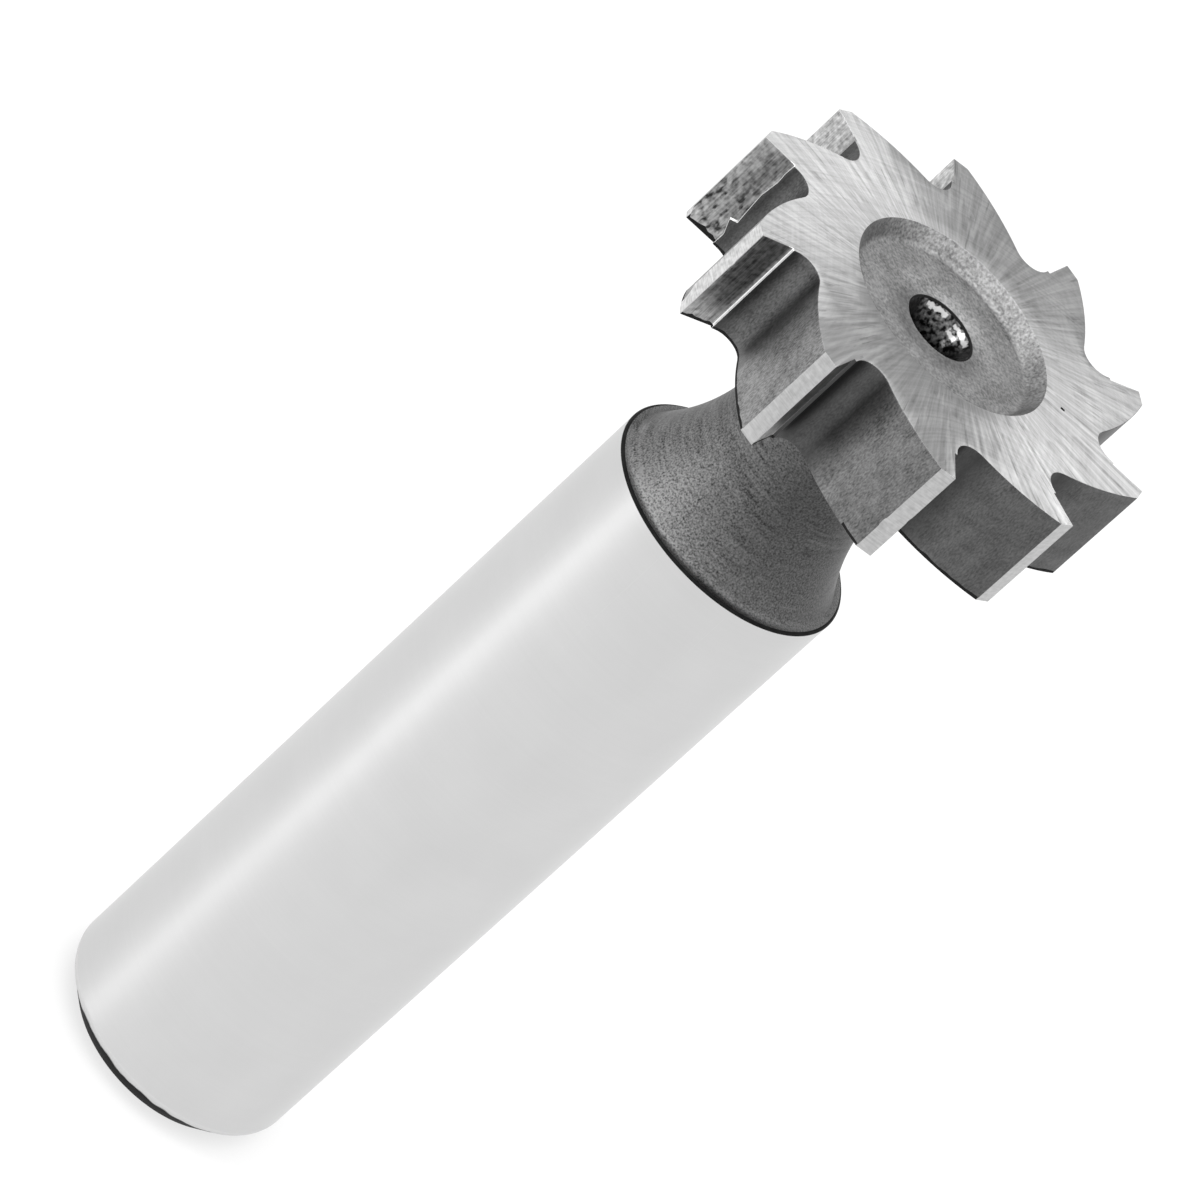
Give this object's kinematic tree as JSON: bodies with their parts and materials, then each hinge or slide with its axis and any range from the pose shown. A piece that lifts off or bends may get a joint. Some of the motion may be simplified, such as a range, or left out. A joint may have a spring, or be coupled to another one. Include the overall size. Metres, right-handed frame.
{
  "type": "woodruff keyseat cutter",
  "caption": "Shank-type keyseat milling cutter: a narrow toothed disc on a slim neck that flares out to a plain round shank with a chamfered end.",
  "frame": {"origin": "centre of the flat shank end, on the tool's own axis", "axes": "+Z along the tool's axis from the shank end to the front face of the head; one tooth's cutting edge lies on the +X side"},
  "size_m": [0.0226, 0.0218, 0.0564],
  "materials": {
    "tool_steel": "ground bright on the shank, the head's front face, the lands and the reground rake strips; grit-blasted dark grey on the neck, in the gullets and in the recess"
  },
  "bodies": {
    "root": {"keyseat_cutter": "tool_steel"}
  },
  "joints": []
}
